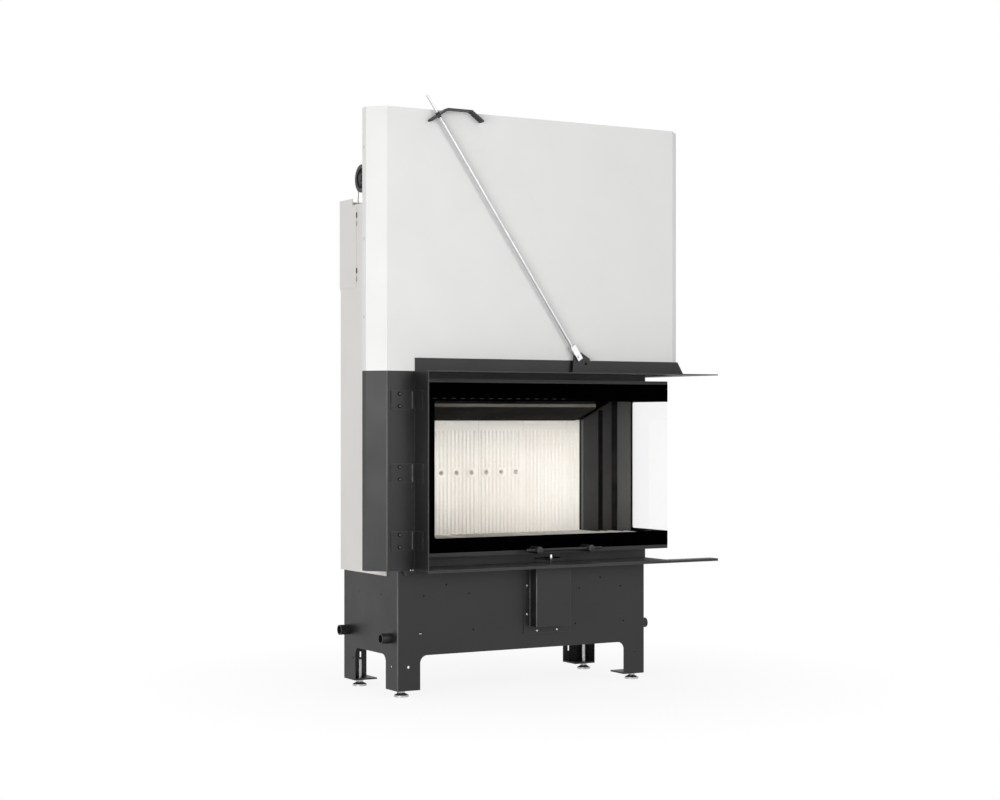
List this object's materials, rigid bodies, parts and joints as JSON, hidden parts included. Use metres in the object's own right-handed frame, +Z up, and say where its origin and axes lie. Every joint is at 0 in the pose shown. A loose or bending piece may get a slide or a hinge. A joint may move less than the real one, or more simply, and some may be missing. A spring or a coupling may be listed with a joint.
{
  "type": "corner fireplace insert",
  "caption": "Built-in corner fireplace insert: glass front and side door that lifts into a tall housing, ribbed fire chamber, flue collar on top and a base on levelling feet.",
  "frame": {"origin": "on the floor, under the middle of the object's box", "axes": "+Z up, -Y out of the glass front, +X towards the glass side"},
  "size_m": [1.031, 0.432, 1.5534],
  "materials": {
    "black_sheet": "matt black paint",
    "white_sheet": "smooth white paint",
    "casing_sheet": "pale smooth paint",
    "firebox_steel": "dark heat-proof paint",
    "lining": "cream ceramic, matt",
    "bright_steel": "bright zinc-plated steel",
    "rail_steel": "grey paint",
    "foot": "zinc-plated steel",
    "pulley": "black plastic",
    "weight": "raw iron",
    "glass": "clear heat-proof glass"
  },
  "bodies": {
    "housing": {"base_frame": "black_sheet", "left_panel": "black_sheet", "frame_left": "black_sheet", "frame_top": "black_sheet", "frame_sill": "black_sheet", "frame_brackets": "black_sheet", "air_box": "black_sheet", "carry_tubes": "black_sheet", "plenum": "black_sheet", "front_frame": "black_sheet", "tie_lug": "black_sheet", "tie_strap": "black_sheet", "bracket_screws": "black_sheet", "upper_shell": "white_sheet", "casing_left": "casing_sheet", "casing_back": "casing_sheet", "casing_cover": "casing_sheet", "casing_hood": "casing_sheet", "firebox_back": "firebox_steel", "firebox_left": "firebox_steel", "smoke_dome": "firebox_steel", "flue_collar": "firebox_steel", "right_wall": "firebox_steel", "side_column": "firebox_steel", "inlet_collar": "firebox_steel", "baffle_plate": "firebox_steel", "floor_lining": "lining", "rear_lining": "lining", "left_lining": "lining", "baffle": "lining", "tie_rod": "bright_steel", "tie_nuts": "bright_steel", "tie_clevis": "bright_steel", "clevis_pin": "bright_steel", "pulley_pins": "bright_steel", "cable_door_runs": "bright_steel", "cable_tops": "bright_steel", "cable_left_weight": "bright_steel", "cable_right_weight": "bright_steel", "guide_rails": "rail_steel", "pulley_brackets": "rail_steel"},
    "door": {"door_top_rail": "black_sheet", "door_bottom_rail": "black_sheet", "door_left_stile": "black_sheet", "door_rear_edge": "black_sheet", "door_glass_front": "glass", "door_glass_side": "glass", "handle_bar": "black_sheet", "handle_standoffs": "black_sheet", "door_lugs": "black_sheet"},
    "air_lever": {"air_lever": "black_sheet"},
    "foot_front_left": {"foot_front_left": "foot"},
    "foot_front_right": {"foot_front_right": "foot"},
    "foot_rear_left": {"foot_rear_left": "foot"},
    "foot_rear_right": {"foot_rear_right": "foot"},
    "pulley_left_front": {"pulley_left_front": "pulley"},
    "pulley_left_rear": {"pulley_left_rear": "pulley"},
    "pulley_right": {"pulley_right": "pulley"},
    "counterweight_left": {"counterweight_left": "weight"},
    "counterweight_right": {"counterweight_right": "weight"}
  },
  "joints": [
    {"name": "door_lift", "type": "slide", "parent": "housing", "child": "door", "axis": [0, 0, 1], "range_m": [0, 0.44], "deforming": ["cable_door_runs"]},
    {"name": "counterweight_left_drop", "type": "slide", "parent": "housing", "child": "counterweight_left", "axis": [0, 0, -1], "range_m": [0, 0.44], "deforming": ["cable_left_weight"]},
    {"name": "counterweight_right_drop", "type": "slide", "parent": "housing", "child": "counterweight_right", "axis": [0, 0, -1], "range_m": [0, 0.44], "deforming": ["cable_right_weight"]},
    {"name": "pulley_left_front_spin", "type": "hinge", "parent": "housing", "child": "pulley_left_front", "pos_m": [-0.4255, -0.056, 1.36], "axis": [1, 0, 0], "range_deg": [-745, 0]},
    {"name": "pulley_left_rear_spin", "type": "hinge", "parent": "housing", "child": "pulley_left_rear", "pos_m": [-0.4255, 0.095, 1.36], "axis": [1, 0, 0], "range_deg": [-745, 0]},
    {"name": "pulley_right_spin", "type": "hinge", "parent": "housing", "child": "pulley_right", "pos_m": [0.3865, 0.084, 1.36], "axis": [1, 0, 0], "range_deg": [-745, 0]},
    {"name": "air_lever_slide", "type": "slide", "parent": "housing", "child": "air_lever", "axis": [1, 0, 0], "range_m": [0, 0.07]},
    {"name": "foot_front_left_level", "type": "slide", "parent": "housing", "child": "foot_front_left", "axis": [0, 0, -1], "range_m": [0, 0.025]},
    {"name": "foot_front_right_level", "type": "slide", "parent": "housing", "child": "foot_front_right", "axis": [0, 0, -1], "range_m": [0, 0.025]},
    {"name": "foot_rear_left_level", "type": "slide", "parent": "housing", "child": "foot_rear_left", "axis": [0, 0, -1], "range_m": [0, 0.025]},
    {"name": "foot_rear_right_level", "type": "slide", "parent": "housing", "child": "foot_rear_right", "axis": [0, 0, -1], "range_m": [0, 0.025]}
  ],
  "couplings": [
    {"joint": "counterweight_left_drop", "follows": "door_lift", "ratio": 1},
    {"joint": "counterweight_right_drop", "follows": "door_lift", "ratio": 1},
    {"joint": "pulley_left_front_spin", "follows": "door_lift", "rad_per_m": -29.412},
    {"joint": "pulley_left_rear_spin", "follows": "door_lift", "rad_per_m": -29.412},
    {"joint": "pulley_right_spin", "follows": "door_lift", "rad_per_m": -29.412}
  ]
}
